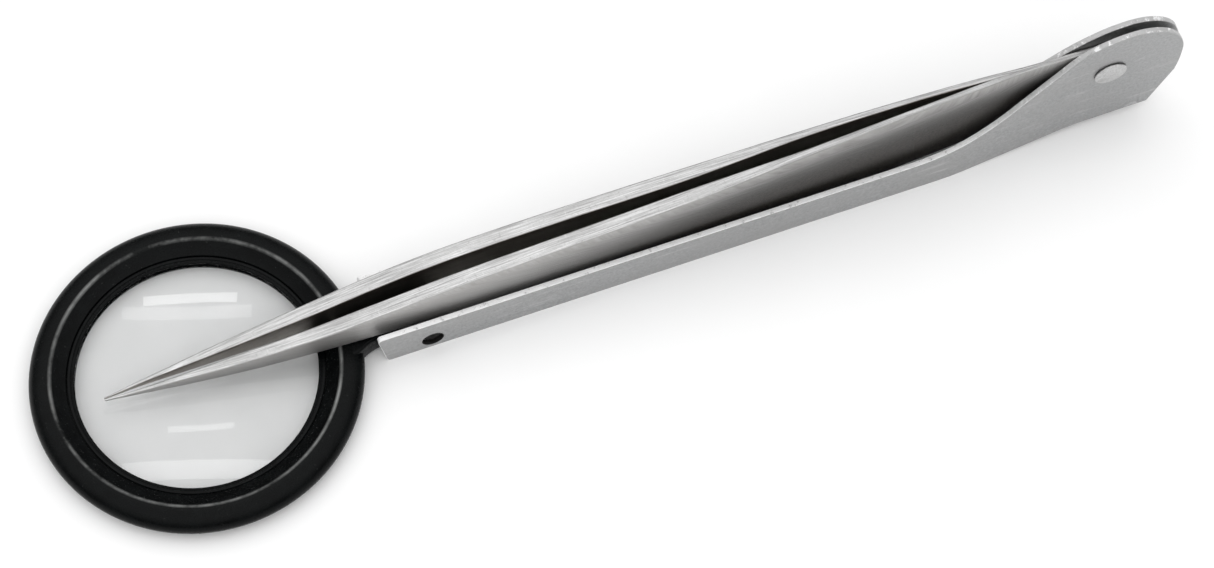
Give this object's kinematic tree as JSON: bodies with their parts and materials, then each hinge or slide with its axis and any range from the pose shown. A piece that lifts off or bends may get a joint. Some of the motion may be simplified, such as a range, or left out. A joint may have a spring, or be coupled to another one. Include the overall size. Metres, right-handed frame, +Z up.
{
  "type": "stamp tongs with folding magnifier",
  "caption": "Fine-pointed sprung steel stamp tongs that fold on a rivet into a two-plate steel fork carrying a small round tilting magnifier.",
  "frame": {"origin": "middle of the footprint, on the surface the tongs lie on", "axes": "+X from the lens to the rivet, +Z up away from the surface, Y=0 the plane of symmetry between the two leaves"},
  "size_m": [0.1262, 0.035, 0.0178],
  "materials": {
    "leaf_steel": "satin steel, ground lengthwise, bright sheared edges",
    "plate_steel": "matte tumbled steel sheet with bright sheared edges",
    "rivet_steel": "satin steel rivet with low domed heads",
    "pin_steel": "dull steel cross pin",
    "black_plastic": "satin black moulded plastic",
    "lens_clear": "polished clear lens"
  },
  "bodies": {
    "fork": {"near_side_plate": "plate_steel", "far_side_plate": "plate_steel", "pivot_rivet": "rivet_steel"},
    "magnifier": {"lens_frame": "black_plastic", "lens": "lens_clear", "lens_retaining_ring": "black_plastic", "lens_tilt_pin": "pin_steel"},
    "tongs_heel": {"near_leaf_root": "leaf_steel", "far_leaf_root": "leaf_steel"},
    "near_spring": {"near_leaf_spring": "leaf_steel"},
    "far_spring": {"far_leaf_spring": "leaf_steel"},
    "near_arm": {"near_leaf_arm": "leaf_steel"},
    "far_arm": {"far_leaf_arm": "leaf_steel"}
  },
  "joints": [
    {"name": "tongs_swing", "type": "hinge", "parent": "fork", "child": "tongs_heel", "pos_m": [0.05488, 0, 0.01106], "axis": [0, 1, 0], "range_deg": [0, 180]},
    {"name": "lens_tilt", "type": "hinge", "parent": "fork", "child": "magnifier", "pos_m": [-0.02102, 0, 0.0018], "axis": [0, -1, 0], "range_deg": [0, 95]},
    {"name": "near_release", "type": "hinge", "parent": "tongs_heel", "child": "near_spring", "pos_m": [0.04172, -0.00031, 0.01005], "axis": [-0.0762, 0, 0.9971], "range_deg": [0, 2.5]},
    {"name": "far_release", "type": "hinge", "parent": "tongs_heel", "child": "far_spring", "pos_m": [0.04172, 0.00031, 0.01005], "axis": [-0.0762, 0, 0.9971], "range_deg": [-2.5, 0]},
    {"name": "near_squeeze", "type": "hinge", "parent": "near_spring", "child": "near_arm", "pos_m": [0.03294, -0.00069, 0.00938], "axis": [-0.0762, 0, 0.9971], "range_deg": [0, 0.3], "stiffness_Nm_per_rad": 1},
    {"name": "far_squeeze", "type": "hinge", "parent": "far_spring", "child": "far_arm", "pos_m": [0.03294, 0.00069, 0.00938], "axis": [-0.0762, 0, 0.9971], "range_deg": [-0.4, 0.1]}
  ],
  "couplings": [
    {"joint": "near_release", "follows": "tongs_swing", "ratio": 0.0138},
    {"joint": "far_release", "follows": "tongs_swing", "ratio": -0.0138},
    {"joint": "far_squeeze", "follows": "near_squeeze", "ratio": -1}
  ]
}
